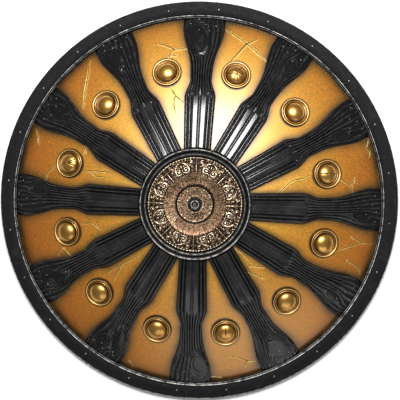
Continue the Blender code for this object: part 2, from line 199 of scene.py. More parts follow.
def edge_spray_and_shade(points):
    """How much the gold is browned by the spokes, rim and collar, 0 to 1: part spray, part painted shade."""
    radius = np.linalg.norm(points, axis=1)
    bearing = np.arctan2(points[:, 0], points[:, 1])
    step = math.tau / SPOKE_COUNT
    turn = (bearing + step / 2) % step - step / 2
    share = np.clip((radius - SEAT_RADIUS) / (DISH_FOOT_RADIUS - SEAT_RADIUS), 0, 1)
    from_spoke = np.maximum(np.abs(radius * np.sin(turn)) - spoke_half_width(share), 0.0)
    from_rim = np.maximum(DISH_FOOT_RADIUS - radius, 0.0)
    from_collar = np.maximum(radius - SEAT_RADIUS, 0.0)
    # Brown along the spokes, rim and collar: partly a sprayed brown, partly painted shade where each meets
    # the dish.
    spoke_spray_and_shade = 0.9 * np.exp(-((from_spoke / (0.0046 + 0.0030 * share)) ** 1.4))
    rim_spray_and_shade = np.exp(-((from_rim / 0.0078) ** 1.3))
    # A dark band right against the rim: painted shadow of the rim's inner wall.
    rim_spray_and_shade = np.maximum(rim_spray_and_shade, ramp_up(0.0040, 0.0022, from_rim))
    collar_spray_and_shade = 0.7 * np.exp(-from_collar / 0.004)
    return 1 - (1 - spoke_spray_and_shade) * (1 - rim_spray_and_shade) * (1 - collar_spray_and_shade)


def ring_points(radii, steps):
    """Points on circles, with every other circle turned by half a step."""
    points = []
    for index, radius in enumerate(radii):
        shift = 0.5 * ((len(radii) - 1 - index) % 2)
        turns = math.tau * (np.arange(steps) + shift) / steps
        points.append(np.column_stack((radius * np.sin(turns), radius * np.cos(turns))))
    return np.concatenate(points)


def link_object(name, data):
    made = bpy.data.objects.new(name, data)
    bpy.context.scene.collection.objects.link(made)
    return made


def vertex_value(piece, name, values):
    """Keep one number for each vertex, for the material to read."""
    layer = piece.data.attributes.new(name, "FLOAT", "POINT")
    layer.data.foreach_set("value", np.asarray(values, dtype=np.float32))


def closed_piece(name, points, faces, sharp_angle):
    """A closed body that faces outwards, smooth but for its sharp edges."""
    mesh = bpy.data.meshes.new(name)
    mesh.from_pydata(np.asarray(points).tolist(), [], faces)
    build = bmesh.new()
    build.from_mesh(mesh)
    if build.calc_volume(signed=True) < 0:
        bmesh.ops.reverse_faces(build, faces=build.faces)
    build.to_mesh(mesh)
    build.free()
    mesh.shade_smooth()
    mesh.set_sharp_from_angle(angle=math.radians(sharp_angle))
    return link_object(name, mesh)


def fill_plan(edge, inside, lines, kept):
    """Points in plan filled with triangles; the kept lines stay unbroken."""
    start, line_edges = len(edge) + len(inside), []
    for line, unbroken in zip(lines, kept):
        if unbroken:
            line_edges += [(start + step, start + step + 1) for step in range(len(line) - 1)]
        start += len(line)
    plan = np.concatenate((edge, inside, *lines))
    made = delaunay_2d_cdt([Vector(point) for point in plan], line_edges, [], 0, 1e-6)
    found = {old: new for new, olds in enumerate(made[3]) for old in olds}
    points = np.array([tuple(point) for point in made[0]])
    return points, [tuple(face) for face in made[2]], [found[index] for index in range(len(edge))]


def board_front():
    """The painted face, finer along each crack, and the values that its paint reads."""
    runs = crack_runs()
    rings = np.arange(SEAT_RADIUS, DISH_FOOT_RADIUS, BOARD_RING_PITCH)
    fine = ring_points([*rings, DISH_FOOT_RADIUS, 0.286, 0.294, BOARD_RADIUS], BOARD_STEPS)
    inside = np.concatenate((fine[:-BOARD_STEPS], ring_points([0.0784, 0.06, 0.03], 60), [[0.0, 0.0]]))
    inside = inside[crack_measure(inside, runs)[0] > CRACK_CLEARANCE]
    lines = []
    for index, run in enumerate(runs):
        along = np.gradient(run, axis=0)
        across = np.column_stack((-along[:, 1], along[:, 0])) / np.linalg.norm(along, axis=1)[:, None]
        lines += [run + across * side * crack_widths(index, run)[:, None] for side in CRACK_LINES]
    kept = [abs(side) <= 1 for side in CRACK_LINES] * len(runs)
    points, faces, outline = fill_plan(fine[-BOARD_STEPS:], inside, lines, kept)
    off, side = crack_measure(points, runs)
    height = front_z(np.linalg.norm(points, axis=1))
    height -= CRACK_DEPTH * np.clip(1 - off, 0, 1)
    height += CRACK_LIP * np.clip(1 - np.abs(off - 1.7) / 0.9, 0, 1)
    values = {
        # Dark in the crack: painted shade in its groove. The lip is painted brighter on the side that faces
        # the light: a painted highlight.
        "groove": np.clip(1.35 - off, 0, 1),
        "lip": np.clip(1 - np.abs(off - 1.75) / 0.85, 0, 1) * np.clip(0.55 + 0.9 * side, 0.12, 1.0),
        "spray_and_shade": edge_spray_and_shade(points),
    }
    return np.column_stack((points, height)), faces, outline, values


def from_seam(points):
    """Distance of each point from the nearest seam between planks."""
    return np.abs((points[:, 0] / PLANK_WIDTH) % 1.0 - 0.5) * PLANK_WIDTH


def board_back():
    """The bare back, with a shallow groove along each seam between planks."""
    back_foot = math.sqrt((SPHERE_RADIUS - BOARD_THICKNESS) ** 2 - (BORDER_BACK - SPHERE_CENTRE_Z) ** 2)
    rings = [0.012, 0.03, 0.05, 0.07, *np.arange(SEAT_RADIUS, back_foot, BACK_RING_PITCH)]
    fine = ring_points([*rings, back_foot, 0.29, BOARD_RADIUS], BOARD_STEPS)
    inside = fine[:-BOARD_STEPS]
    radius = np.linalg.norm(inside, axis=1)
    inside = inside[(radius > SEAT_RADIUS - 0.001) | (np.arange(len(inside)) % 6 == 0)]
    inside = inside[from_seam(inside) > 1.5 * PLANK_SEAM_WIDTH]
    lines = []
    for across in [(plank + 0.5) * PLANK_WIDTH for plank in range(-3, 3)]:
        for place in (across - 0.5 * PLANK_SEAM_WIDTH, across, across + 0.5 * PLANK_SEAM_WIDTH):
            reach = math.sqrt(PLANK_SEAM_REACH**2 - place**2)
            lines.append(np.column_stack((np.full(90, place), np.linspace(-reach, reach, 90))))
    points, faces, outline = fill_plan(fine[-BOARD_STEPS:], inside, lines, [True] * len(lines))
    radius = np.linalg.norm(points, axis=1)
    seam = np.clip(1 - 2 * from_seam(points) / PLANK_SEAM_WIDTH, 0, 1)
    seam = seam * (radius < PLANK_SEAM_REACH + 0.0005)
    height = back_z(radius) + PLANK_SEAM_DEPTH * seam
    return np.column_stack((points, height)), [face[::-1] for face in faces], outline, {"groove": seam}


def join_rings(low, high):
    """Faces between two rings of point numbers, either of which may be one point repeated."""
    faces = []
    for step in range(len(low)):
        after = (step + 1) % len(low)
        corners = tuple(dict.fromkeys((low[step], low[after], high[after], high[step])))
        if len(corners) > 2:
            faces.append(corners)
    return faces


def make_board():
    """Front and back joined along their outlines, painted on the front alone."""
    front, front_faces, front_edge, front_values = board_front()
    back, back_faces, back_edge, back_values = board_back()
    shift = len(front)
    faces = front_faces + [tuple(index + shift for index in face) for face in back_faces]
    faces += join_rings(front_edge, [index + shift for index in back_edge])
    piece = closed_piece("board_painted", np.concatenate((front, back)), faces, 50)
    for name, values in front_values.items():
        vertex_value(piece, name, np.concatenate((values, back_values.get(name, np.zeros(len(back))))))
    painted = len(front_faces)
    piece.data.polygons.foreach_set("material_index", [0] * painted + [1] * (len(faces) - painted))
    return piece


def add_node(tree, kind, inputs=None, **settings):
    """A node with its settings, and its inputs joined or set by name or number."""
    made = tree.nodes.new(kind)
    for key, value in settings.items():
        setattr(made, key, value)
    for key, value in (inputs or {}).items():
        fill_socket(tree, made.inputs[key], value)
    return made


def fill_socket(tree, socket, value):
    """Join another node's output to a socket, or set its value."""
    if isinstance(value, bpy.types.NodeSocket):
        tree.links.new(value, socket)
    else:
        socket.default_value = (*value, 1.0) if socket.type == "RGBA" else value


class Finish:
    """A material in the making, with its pattern on the piece's own coordinates."""

    def __init__(self, name, colour, metallic, roughness):
        self.material = bpy.data.materials.new(name)
        self.material.use_nodes = True
        self.tree = self.material.node_tree
        self.shader = self.tree.nodes["Principled BSDF"]
        for key, value in (("Base Color", colour), ("Metallic", metallic), ("Roughness", roughness)):
            self.feed(key, value)

    def feed(self, key, value):
        fill_socket(self.tree, self.shader.inputs[key], value)

    def node(self, kind, inputs=None, output=0, **settings):
        return add_node(self.tree, "ShaderNode" + kind, inputs, **settings).outputs[output]

    def place(self):
        return self.node("TexCoord", output="Object")

    def stretch(self, place, scale):
        return self.node("Mapping", {"Vector": place, "Scale": scale})

    def noise(self, scale, detail=3.0, roughness=0.5, distortion=0.0, place=None):
        inputs = {"Vector": place or self.place(), "Scale": scale, "Detail": detail, "Roughness": roughness}
        return self.node("TexNoise", {**inputs, "Distortion": distortion}, "Fac")

    def remap(self, value, low, high, to_low=0.0, to_high=1.0):
        inputs = {"Value": value, "From Min": low, "From Max": high, "To Min": to_low, "To Max": to_high}
        return self.node("MapRange", inputs)

    def maths(self, how, first, second=0.0):
        return self.node("Math", {0: first, 1: second}, operation=how)

    def times(self, first, second):
        return self.maths("MULTIPLY", first, second)

    def plus(self, first, second):
        return self.maths("ADD", first, second)

    def mix(self, share, first, second, how="MIX"):
        return self.node("Mix", {0: share, 6: first, 7: second}, 2, data_type="RGBA", blend_type=how)

    def shade(self, colour, tone):
        """A colour made lighter or darker by a tone."""
        grey = self.node("CombineColor", {0: tone, 1: tone, 2: tone})
        return self.mix(1.0, colour, grey, "MULTIPLY")

    def vertex(self, name):
        return self.node("Attribute", None, "Fac", attribute_name=name)

    def bump(self, height, strength, distance):
        inputs = {"Height": height, "Strength": strength, "Distance": distance}
        self.feed("Normal", self.node("Bump", inputs))


def painted_shadow_round_studs(f, flat, reach):
    """How much painted shadow darkens the paint round the foot of each stud, 0 to 1."""
    split = add_node(f.tree, "ShaderNodeSeparateXYZ", {0: flat}).outputs
    step = math.tau / STUD_COUNT
    bearing = f.maths("FLOORED_MODULO", f.maths("ARCTAN2", split["X"], split["Y"]), step)
    towards = f.times(f.maths("COSINE", f.maths("SUBTRACT", bearing, step / 2)), reach)
    square = f.plus(f.times(reach, reach), STUD_CIRCLE_RADIUS**2)
    square = f.maths("SUBTRACT", square, f.times(towards, 2 * STUD_CIRCLE_RADIUS))
    return f.remap(f.maths("SQRT", square), STUD_RADIUS + 0.0003, STUD_RADIUS + 0.0018, 0.9, 0.0)


def gold_paint_material():
    """Metallic gold paint, redder towards the rim, with a fine spray grain under a clear lacquer."""
    f = Finish("gold_paint", (0.41, 0.14, 0.01), 0.5, 0.46)
    flat = f.stretch(f.place(), (1, 1, 0))
    reach = f.node("VectorMath", {0: flat}, "Value", operation="LENGTH")
    gold = f.mix(f.remap(reach, 0.10, 0.275), (0.550, 0.168, 0.015), (0.430, 0.052, 0.004))
    gold = f.mix(f.remap(f.noise(14, 4), 0.35, 0.7, 0.0, 0.4), gold, (0.42, 0.070, 0.006))
    grain = f.noise(400, 2, 0.8)
    gold = f.shade(gold, f.remap(grain, 0.34, 0.66, 0.62, 1.38))
    patchy = f.remap(f.noise(45, 4), 0.3, 0.7, 0.75, 1.1)
    # Brown along every edge, partly spray and partly painted shade, and a painted shadow round each stud.
    spray_and_shade = f.times(f.vertex("spray_and_shade"), patchy)
    spray_and_shade = f.maths("MAXIMUM", spray_and_shade, painted_shadow_round_studs(f, flat, reach))
    gold = f.mix(spray_and_shade, gold, (0.040, 0.017, 0.007))
    # A painted highlight on each crack's lip, then painted shade in its groove.
    gold = f.mix(f.vertex("lip"), gold, (0.95, 0.62, 0.22))
    f.feed("Base Color", f.mix(f.vertex("groove"), gold, (0.016, 0.007, 0.003)))
    dulled = f.times(spray_and_shade, 0.12)
    f.feed("Roughness", f.plus(f.remap(grain, 0.3, 0.7, 0.48, 0.58), dulled))
    f.feed("Metallic", f.remap(spray_and_shade, 0, 1, 0.5, 0.97))
    f.feed("IOR", 3.4)
    f.feed("Specular Tint", (0.50, 0.98, 0.05))
    f.feed("Coat Weight", 1.0)
    f.feed("Coat Roughness", 0.33)
    f.feed("Coat IOR", 1.65)
    f.bump(grain, 0.25, 0.0003)
    return f.material


def wood_grain(f, place, ring_stretch, fibre_stretch, wander, ring_count, ring_strength):
    """Share of dark in planed wood, from its growth rings and fibres, and the fibres alone."""
    figure = f.noise(1.0, 3, 0.5, wander, f.stretch(place, ring_stretch))
    fibre = f.noise(1.0, 3, 0.6, place=f.stretch(place, fibre_stretch))
    rings = f.maths("SINE", f.times(figure, ring_count))
    rings = f.remap(rings, -1, 1, 0.0, ring_strength)
    return f.plus(rings, f.remap(fibre, 0.3, 0.7, 0.0, 0.4)), fibre


def bare_lime_material():
    """Planed lime with its grain along Y; each plank has its own piece of grain and its own shade."""
    f = Finish("bare_lime", (0.50, 0.34, 0.19), 0.0, 0.62)
    place = f.place()
    across = f.maths("DIVIDE", f.node("SeparateXYZ", {0: place}), PLANK_WIDTH)
    plank = f.maths("FLOOR", f.plus(across, 0.5))
    own = add_node(f.tree, "ShaderNodeTexWhiteNoise", {"W": plank}, noise_dimensions="1D").outputs
    shifted = f.node("VectorMath", {0: place, 1: own["Color"]}, operation="ADD")
    share, fibre = wood_grain(f, shifted, (34, 2.6, 12), (900, 22, 300), 1.4, 42, 0.55)
    wood = f.mix(share, (0.50, 0.34, 0.19), (0.27, 0.155, 0.07))
    wood = f.shade(wood, f.remap(own["Value"], 0, 1, 0.78, 1.12))
    f.feed("Base Color", f.mix(f.vertex("groove"), wood, (0.04, 0.022, 0.012)))
    f.feed("Roughness", f.remap(fibre, 0.3, 0.7, 0.55, 0.72))
    f.bump(fibre, 0.3, 0.0004)
    return f.material


board = make_board()
board.data.materials.append(gold_paint_material())
board.data.materials.append(bare_lime_material())
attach(board, "root")
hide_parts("board")


# The spokes. Each of the twelve is carved from one wooden blank, bedded on the dish and lacquered black: a
# bar with two ribs at each side and a fine centre groove runs out from the collar, drops to a waist, and
# flares into long strands, like hair or water, that swirl round knots before they meet the rim.
SPOKE_THICKNESS = 0.008
SPOKE_END_THICKNESS = 0.0062
SPOKE_BED_GAP = 0.0006
SPOKE_LENGTH_STEPS = 210
SPOKE_WIDTH_STEPS = 88
STRAND_COUNT = 4.5
STRAND_DEPTH = 0.33
# Places across the bar, as shares of half width, where pale lines are painted along the ribs as highlights
SPOKE_RIB_LINES = (0.11, 0.62, 0.87)
# Across half the bar, from the middle to the edge: share of half width, share of height
BAR_SECTION = (
    (0.0, 0.84), (0.03, 0.83), (0.055, 0.76), (0.09, 0.92), (0.12, 0.98), (0.40, 1.0), (0.445, 0.95),
    (0.485, 0.50), (0.53, 0.60), (0.60, 0.84), (0.66, 0.80), (0.72, 0.50), (0.755, 0.46), (0.81, 0.66),
    (0.87, 0.73), (0.93, 0.62), (0.965, 0.45), (1.0, 0.28),
)


def value_field(draw, rows, columns):
    """A smooth random field over shares 0 to 1, as a function of two arrays."""
    grid = np.array([[draw.uniform(-1, 1) for _ in range(columns)] for _ in range(rows)])

    def read(first, second):
        x = np.clip(first, 0, 1) * (rows - 1.001)
        y = np.clip(second, 0, 1) * (columns - 1.001)
        i, j = x.astype(int), y.astype(int)
        u, v = x - i, y - j
        u, v = u * u * (3 - 2 * u), v * v * (3 - 2 * v)
        low = grid[i, j] * (1 - v) + grid[i, j + 1] * v
        high = grid[i + 1, j] * (1 - v) + grid[i + 1, j + 1] * v
        return low * (1 - u) + high * u

    return read


def spoke_relief(draw, share, across):
    """Height as a share of the thickness, how far a place stands out, and where pale lines are painted:
    highlights drawn as rubbing.
    """
    side = np.abs(across)
    table = np.array(BAR_SECTION)
    bar = np.interp(side, table[:, 0], table[:, 1])
    wander, weight = value_field(draw, 5, 4), value_field(draw, 4, 9)
    lateral = across * 0.5 + 0.5
    loosened = ramp_up(0.52, 0.78, share)
    path = across + 0.14 * wander(share, lateral) * loosened
    shallow = 1.0
    for _ in range(draw.choice((1, 2, 2, 3))):
        knot_share = draw.uniform(0.76, 0.90)
        knot_across = draw.uniform(0.15, 0.55) * draw.choice((-1, 1))
        long, wide = draw.uniform(0.07, 0.10), draw.uniform(0.28, 0.40)
        reach = ((share - knot_share) / long) ** 2 + ((across - knot_across) / wide) ** 2
        eye = np.exp(-(reach**1.5))
        path = path * (1 - eye) + (0.12 + 0.48 * np.sqrt(reach)) * eye
        shallow = shallow * (1 - 0.82 * eye)
    strands = np.abs(np.cos(math.pi * STRAND_COUNT * path))
    fine = np.abs(np.cos(math.pi * STRAND_COUNT * 2 * path + 0.8 * wander(lateral, share)))
    crown = 0.50 + 0.44 * (1 - side**2.6)
    cut = STRAND_DEPTH * shallow * (0.9 + 0.3 * weight(share, lateral))
    cut = cut * (1 - 0.4 * ramp_up(0.90, 1.0, share))
    carved = crown - cut * (1 - strands**0.7) - 0.09 * shallow * ramp_up(0.55, 0.75, share) * (1 - fine)
    carved = np.where(side > 0.94, carved - (carved - 0.28) * (side - 0.94) / 0.06, carved)
    mix = ramp_up(SHOULDER_SHARE - 0.015 + 0.02 * (1 - side), SHOULDER_SHARE + 0.060, share)
    relief = np.clip(bar * (1 - mix) + carved * mix, 0.22, 1.0)
    # The crests are made glossier and paler and the hollows blacker: painted highlight and painted shade.
    crest = np.clip((relief - 0.50) / 0.42, 0, 1) * (1 - 0.6 * mix * (1 - strands**2))
    crest = crest * (1 - 0.8 * ramp_up(0.66, 0.80, share))
    # Pale lines along the ribs and the strands' crests: painted highlights, drawn as the black rubbed thin.
    rib_lines = np.maximum.reduce([ramp_up(0.035, 0.0, np.abs(side - line)) for line in SPOKE_RIB_LINES])
    strand_lines = (0.25 + 0.75 * shallow) * ramp_up(0.92, 0.99, strands) * ramp_up(0.96, 0.90, side)
    return relief, crest, 0.9 * rib_lines * (1 - mix) + strand_lines * mix


def lofted_piece(name, rings, sharp_angle, fanned=True):
    """Closed rings of points joined one to the next, each end fanned or closed by one face."""
    around = len(rings[0])
    numbers = np.arange(len(rings) * around).reshape(len(rings), around).tolist()
    faces = [face for low, high in zip(numbers, numbers[1:]) for face in join_rings(low, high)]
    end = numbers[-1][0]
    for step in range(around - 2 if fanned else 0):
        faces += [(step + 1, step, around - 1), (end + around - 1, end + step, end + step + 1)]
    if not fanned:
        faces += [numbers[0][:1] + numbers[0][:0:-1], numbers[-1][-1:] + numbers[-1][:-1]]
    return closed_piece(name, np.concatenate(rings), faces, sharp_angle)


def spoke_rings(number):
    """Rings across a spoke: lower corner, carved face, other lower corner, middle of the bed."""
    draw = random.Random(40 + number)
    shares = np.linspace(0.0, 1.0, SPOKE_LENGTH_STEPS + 1)
    across = np.linspace(1.0, -1.0, SPOKE_WIDTH_STEPS + 1)
    relief, crest, rub_and_highlight = spoke_relief(draw, *np.meshgrid(shares, across, indexing="ij"))
    rings = []
    bearing = math.tau * (number - 1) / SPOKE_COUNT
    for row, share in enumerate(shares):
        radius = SEAT_RADIUS + (DISH_FOOT_RADIUS - SEAT_RADIUS) * share
        thickness = SPOKE_THICKNESS + (SPOKE_END_THICKNESS - SPOKE_THICKNESS) * share
        lateral = np.concatenate(([1.0], across, [-1.0, 0.0])) * float(spoke_half_width(share))
        rise = np.concatenate(([0.0], relief[row], [0.0, 0.0])) * thickness
        forward = np.sqrt(radius**2 - lateral**2)
        x = lateral * math.cos(bearing) + forward * math.sin(bearing)
        y = forward * math.cos(bearing) - lateral * math.sin(bearing)
        rings.append(np.column_stack((x, y, float(front_z(radius)) + SPOKE_BED_GAP + rise)))
    return rings, [np.pad(values, ((0, 0), (1, 2))).ravel() for values in (crest, rub_and_highlight)]


def spoke_piece(number):
    rings, (crest, rub_and_highlight) = spoke_rings(number)
    piece = lofted_piece(f"spoke_carved_{number:02d}", rings, 55)
    vertex_value(piece, "crest", crest)
    vertex_value(piece, "rub_and_highlight", rub_and_highlight)
    return piece


def black_lacquer_material():
    """Black lacquer over carved wood, glossy on the crests; blacker in the hollows as painted shade, paler on
    the crests and along the ribs as painted highlight and rubbing.
    """
    f = Finish("black_lacquer", (0.007, 0.007, 0.008), 0.0, 0.26)
    crest = f.vertex("crest")
    worn = f.remap(f.noise(30, 5, 0.6), 0.45, 0.72)
    # A brown rub on the crests: partly wear, partly painted sheen.
    rub_and_sheen = f.times(f.times(crest, worn), 0.5)
    # Blacker in the hollows than on the crests: painted shade.
    black = f.mix(crest, (0.002, 0.002, 0.002), (0.007, 0.007, 0.008))
    black = f.mix(rub_and_sheen, black, (0.040, 0.036, 0.032))
    broken = f.remap(f.noise(110, 3, 0.6), 0.42, 0.60, 0.1, 0.9)
    # Pale lines along the ribs and strands: painted highlights.
    line = f.times(f.vertex("rub_and_highlight"), broken)
    f.feed("Base Color", f.mix(line, black, (0.042, 0.041, 0.039)))
    pores = f.noise(700, 3, 0.6)
    gloss = f.remap(crest, 0, 1, 0.22, 0.11)
    f.feed("Roughness", f.plus(gloss, f.remap(pores, 0.3, 0.7, -0.01, 0.04)))
    f.feed("Specular IOR Level", 0.5)
    f.bump(pores, 0.06, 0.0003)
    return f.material


black_lacquer = black_lacquer_material()
for spoke_number in range(1, SPOKE_COUNT + 1):
    spoke = spoke_piece(spoke_number)
    spoke.data.materials.append(black_lacquer)
    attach(spoke, "root")
    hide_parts(f"spoke_{spoke_number:02d}")


# The rim. A strip of sheet iron is raised into a channel over the board's edge, with two fine beads rolled
# along its inner edge, then blackened. It is fixed with small round nails through its face.
RIM_INNER_RADIUS = 0.2788
RIM_SHEET = 0.002
RIM_FACE = BORDER_FRONT + FIT_GAP + RIM_SHEET
RIM_TOP = RIM_FACE + 0.004
RIM_LIP_WIDTH = 0.012
RIM_EDGE_ROUNDING = 0.0025
RIM_STEPS = 360
BEAD_WIDTH = 0.0027
# Pale lines along the beads and the outer edge: painted highlights drawn as the black rubbed through, and
# drawn wider on the -Y side.
RIM_WORN_AND_LIT_REACH = 0.00042
LINES_WIDER_BELOW = 1.6
RIM_WORN_AND_LIT_LINES = (
    (RIM_INNER_RADIUS + BEAD_WIDTH / 2, RIM_TOP, 0.30),
    (RIM_INNER_RADIUS + BEAD_WIDTH * 1.5, RIM_TOP - 0.0006, 1.0),
    (SHIELD_RADIUS - 0.0008, RIM_FACE - 0.0008, 0.8),
)
RIM_NAIL_COUNT = 24
RIM_NAIL_CIRCLE = 0.2935
RIM_NAIL_RADIUS = 0.00155
RIM_NAIL_TURN = 4.0
NAIL_HEAD_HEIGHT = 0.0008
NAIL_SIZE_SPREAD = 0.12


def arc(centre, radius, start, end, steps):
    """Points on an arc in (radius, height), from one angle to another in degrees."""
    turns = np.radians(np.linspace(start, end, steps + 1))
    return [(centre[0] + radius * math.cos(turn), centre[1] + radius * math.sin(turn)) for turn in turns]


def turned_piece(name, profile, steps):
    """A profile of (radius, height) points spun about the axis, closed there or back on itself."""
    points, rings = [], []
    for radius, height in profile:
        around = steps if radius > 1e-6 else 1
        rings.append([len(points) + step % around for step in range(steps)])
        turns = [math.tau * step / steps for step in range(around)]
        points += [(radius * math.cos(turn), radius * math.sin(turn), height) for turn in turns]
    if profile[0][0] > 1e-6:
        rings.append(rings[0])
    faces = [face for low, high in zip(rings, rings[1:]) for face in join_rings(low, high)]
    return closed_piece(name, points, faces, 50)


def rim_profile():
    """The rim's section, from its inner edge over both beads to the lip behind the board."""
    inner, outer, bead, under = RIM_INNER_RADIUS, SHIELD_RADIUS, BEAD_WIDTH / 2, BORDER_FRONT + FIT_GAP
    crest, step, lip = RIM_TOP - bead, inner + 4 * bead, outer - RIM_LIP_WIDTH
    rounding = RIM_EDGE_ROUNDING
    return [
        (inner, under), (inner, crest),
        *arc((inner + bead, crest), bead, 170, 25, 10),
        *arc((inner + 3 * bead, crest - 0.0006), bead, 145, 0, 10),
        (step, RIM_FACE + 0.0002), (step + 0.0005, RIM_FACE - 0.0004), (step + 0.0012, RIM_FACE - 0.0001),
        (0.294, RIM_FACE), (0.3, RIM_FACE - 0.0001),
        *arc((outer - rounding, RIM_FACE - rounding), rounding, 90, 0, 7),
        (outer, 0.0012), (outer - 0.0012, 0.0), (lip, 0.0), (lip, RIM_SHEET),
        (outer - RIM_SHEET, RIM_SHEET), (outer - RIM_SHEET, under),
    ]


def black_with_pale_lines_material(name, line_colour, shine):
    """A satin black finish with fine pale flecks, pale in the line colour along marked lines: painted
    highlights as well as wear.
    """
    f = Finish(name, (0.010, 0.010, 0.011), 0.0, 0.55)
    worn = f.remap(f.noise(60, 5, 0.65), 0.56, 0.74)
    black = f.mix(worn, (0.004, 0.004, 0.005), (0.014, 0.013, 0.012))
    patchy = f.remap(f.noise(150, 3, 0.6), 0.40, 0.60, 0.15, 1.0)
    flecks = f.remap(f.noise(520, 2, 0.5), 0.70, 0.76, 0.0, 0.18)
    # Pale lines: painted highlights where the black reads as rubbed through, with fine pale flecks of wear.
    bright = f.maths("MAXIMUM", f.times(f.vertex("crest"), patchy), flecks)
    f.feed("Base Color", f.mix(bright, black, line_colour))
    skin = f.noise(260, 4, 0.6)
    polish = f.remap(bright, 0, 1, 1.0, 0.6)
    f.feed("Roughness", f.times(f.remap(skin, 0.3, 0.7, 0.50, 0.64), polish))
    f.feed("Metallic", f.times(bright, 0.3))
    f.feed("Specular IOR Level", shine)
    f.bump(skin, 0.18, 0.0004)
    return f.material


def vertex_places(piece):
    return np.array([tuple(vertex.co) for vertex in piece.data.vertices])


def rub_and_highlight_lines(piece, lines, reach):
    """Mark pale lines on a piece along rings of a (radius, height, strength), more widely below: painted
    highlights as well as wear.
    """
    x, y, z = vertex_places(piece).T
    radius = np.hypot(x, y)
    reach = reach * (1 + LINES_WIDER_BELOW * np.clip(-y / np.maximum(radius, 1e-6), 0, 1))
    rub_and_highlight = np.zeros(len(z))
    for line_radius, line_height, line_strength in lines:
        off = np.hypot(radius - line_radius, z - line_height)
        rub_and_highlight = np.maximum(rub_and_highlight, line_strength * ramp_up(reach, 0.0, off))
    vertex_value(piece, "crest", rub_and_highlight)


def nail_head_tree():
    """Geometry Nodes that set a low domed head on each point, facing its stored way."""
    tree = bpy.data.node_groups.new("nail_heads", "GeometryNodeTree")
    kinds = {"Geometry": "Geometry", "Head Radius": "Float", "Head Height": "Float", "Size Spread": "Float"}
    for name, kind in {**kinds, "Seed": "Int", "Material": "Material"}.items():
        tree.interface.new_socket(name, in_out="INPUT", socket_type="NodeSocket" + kind)
    tree.interface.new_socket("Geometry", in_out="OUTPUT", socket_type="NodeSocketGeometry")

    def add(kind, inputs, output=0, **settings):
        return add_node(tree, kind, inputs, **settings).outputs[output]

    given = tree.nodes.new("NodeGroupInput").outputs
    dome = add("GeometryNodeMeshUVSphere", {"Segments": 16, "Rings": 8, "Radius": given["Head Radius"]})
    flat = add("ShaderNodeMath", {0: given["Head Height"], 1: given["Head Radius"]}, operation="DIVIDE")
    squash = add("ShaderNodeCombineXYZ", {"X": 1.0, "Y": 1.0, "Z": flat})
    head = add("GeometryNodeTransform", {"Geometry": dome, "Scale": squash})
    facing = add("GeometryNodeInputNamedAttribute", {"Name": "facing"}, "Attribute", data_type="FLOAT_VECTOR")
    align = add("FunctionNodeAlignRotationToVector", {"Vector": facing}, "Rotation", axis="Z")
    least = add("ShaderNodeMath", {0: 1.0, 1: given["Size Spread"]}, operation="SUBTRACT")
    size = add("FunctionNodeRandomValue", {2: least, 3: 1.0, "Seed": given["Seed"]}, 1, data_type="FLOAT")
    placed = {"Points": given["Geometry"], "Instance": head, "Rotation": align, "Scale": size}
    real = add("GeometryNodeRealizeInstances", {0: add("GeometryNodeInstanceOnPoints", placed)})
    smooth = add("GeometryNodeSetShadeSmooth", {0: real})
    finish = add("GeometryNodeSetMaterial", {"Geometry": smooth, "Material": given["Material"]})
    tree.links.new(finish, tree.nodes.new("NodeGroupOutput").inputs["Geometry"])
    return tree


def nail_heads(name, places, radius, height, seed, material):
    """One plain mesh of nail heads at (point, direction) places."""
    points = bpy.data.meshes.new(name + "_points")
    points.from_pydata([place for place, _ in places], [], [])
    layer = points.attributes.new("facing", "FLOAT_VECTOR", "POINT")
    layer.data.foreach_set("vector", [number for _, facing in places for number in facing])
    carrier = link_object(name + "_points", points)
    modifier = carrier.modifiers.new("nail_heads", "NODES")
    modifier.node_group = NAIL_TREE
    values = {"Head Radius": radius, "Head Height": height, "Size Spread": NAIL_SIZE_SPREAD, "Seed": seed}
    values["Material"] = material
    for item in NAIL_TREE.interface.items_tree:
        if item.in_out == "INPUT" and item.name in values:
            modifier[item.identifier] = values[item.name]
    graph = bpy.context.evaluated_depsgraph_get()
    mesh = bpy.data.meshes.new_from_object(carrier.evaluated_get(graph), depsgraph=graph)
    mesh.name = name
    bpy.data.objects.remove(carrier)
    build = bmesh.new()
    build.from_mesh(mesh)
    bmesh.ops.remove_doubles(build, verts=build.verts, dist=1e-6)
    build.to_mesh(mesh)
    build.free()
    return link_object(name, mesh)


blackened_iron = black_with_pale_lines_material("blackened_iron", (0.80, 0.79, 0.75), 0.10)
rim = turned_piece("rim_beaded", rim_profile(), RIM_STEPS)
rub_and_highlight_lines(rim, RIM_WORN_AND_LIT_LINES, RIM_WORN_AND_LIT_REACH)
rim.data.materials.append(blackened_iron)
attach(rim, "root")
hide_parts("rim")

NAIL_TREE = nail_head_tree()
nail_finish = Finish("nail_steel", (0.20, 0.19, 0.18), 0.9, 0.34)
nail_skin = nail_finish.noise(800)
nail_finish.feed("Roughness", nail_finish.remap(nail_skin, 0.3, 0.7, 0.26, 0.44))
nail_steel = nail_finish.material
rim_nail_places = []
for nail in range(RIM_NAIL_COUNT):
    nail_turn = math.tau * nail / RIM_NAIL_COUNT + math.radians(RIM_NAIL_TURN)
    nail_x, nail_y = RIM_NAIL_CIRCLE * math.sin(nail_turn), RIM_NAIL_CIRCLE * math.cos(nail_turn)
    rim_nail_places.append(((nail_x, nail_y, RIM_FACE), (0.0, 0.0, 1.0)))
rim_nails = nail_heads("rim_nails", rim_nail_places, RIM_NAIL_RADIUS, NAIL_HEAD_HEIGHT, 3, nail_steel)
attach(rim_nails, "root")


# The nails at the spokes' outer ends. A few small bright pins hold each flared end down to the board.
SPOKE_NAIL_RADIUS = 0.00115
SPOKE_NAIL_PLACES = ((0.955, 0.62), (0.955, -0.58), (0.905, 0.30), (0.925, -0.22), (0.975, 0.10))


